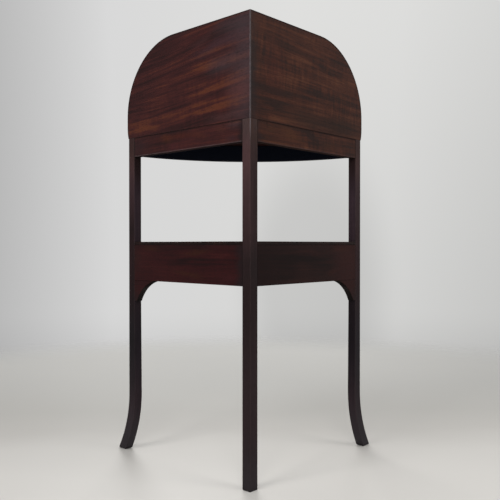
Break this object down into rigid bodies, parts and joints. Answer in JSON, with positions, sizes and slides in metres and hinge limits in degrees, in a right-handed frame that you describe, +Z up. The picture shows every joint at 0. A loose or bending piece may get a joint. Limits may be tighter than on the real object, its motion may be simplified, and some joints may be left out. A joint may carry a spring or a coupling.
{
  "type": "corner washstand",
  "caption": "Three-legged corner stand with a bow-fronted top pierced for a basin and cups, tall rounded splash boards, and a middle shelf over a sliding drawer.",
  "frame": {"origin": "middle of the bounding box, on the floor", "axes": "+Z up, +Y towards the room's corner, -Y out of the bow front, +X to the right of someone who stands in front"},
  "size_m": [0.7147, 0.4806, 1.1213],
  "materials": {
    "mahogany_board": "old waxed polish, figured mahogany",
    "mahogany_frame": "old waxed polish, dark mahogany",
    "secondary_wood": "bare, aged",
    "brass": "worn, dulled"
  },
  "bodies": {
    "stand": {"back_post": "mahogany_frame", "front_leg_left": "mahogany_frame", "front_leg_right": "mahogany_frame", "upper_back_rail_left": "mahogany_board", "upper_back_rail_right": "mahogany_board", "upper_front_rail": "mahogany_frame", "middle_back_rail_left": "mahogany_frame", "middle_back_rail_right": "mahogany_frame", "drawer_rail": "mahogany_frame", "back_bracket_left": "mahogany_frame", "back_bracket_right": "mahogany_frame", "front_bracket_left": "mahogany_frame", "front_bracket_right": "mahogany_frame", "top_board": "mahogany_board", "shelf_board": "mahogany_frame", "splash_board_left": "mahogany_board", "splash_board_right": "mahogany_board", "splash_dowel_left_1": "secondary_wood", "splash_dowel_left_2": "secondary_wood", "splash_dowel_left_3": "secondary_wood", "splash_dowel_right_1": "secondary_wood", "splash_dowel_right_2": "secondary_wood", "splash_dowel_right_3": "secondary_wood", "glue_block_left_1": "secondary_wood", "glue_block_left_2": "secondary_wood", "glue_block_left_front": "secondary_wood", "glue_block_right_1": "secondary_wood", "glue_block_right_2": "secondary_wood", "glue_block_right_front": "secondary_wood", "muntin_left": "mahogany_frame", "muntin_right": "mahogany_frame", "false_front_left": "mahogany_board", "false_front_right": "mahogany_board", "false_front_bead_left": "mahogany_frame", "false_front_bead_right": "mahogany_frame", "drawer_runner_left": "secondary_wood", "drawer_runner_right": "secondary_wood", "drawer_guide_left": "secondary_wood", "drawer_guide_right": "secondary_wood", "drawer_stop_left": "secondary_wood", "drawer_stop_right": "secondary_wood", "knob_false_left": "brass", "knob_nut_false_left": "brass", "knob_false_right": "brass", "knob_nut_false_right": "brass"},
    "drawer": {"drawer_front": "mahogany_board", "drawer_bead": "mahogany_frame", "drawer_side_left": "secondary_wood", "drawer_side_right": "secondary_wood", "drawer_back": "secondary_wood", "drawer_bottom": "secondary_wood", "knob_drawer": "brass", "knob_nut_drawer": "brass"}
  },
  "joints": [
    {"name": "drawer_slide", "type": "slide", "parent": "stand", "child": "drawer", "axis": [0, -1, 0], "range_m": [0, 0.2]}
  ]
}
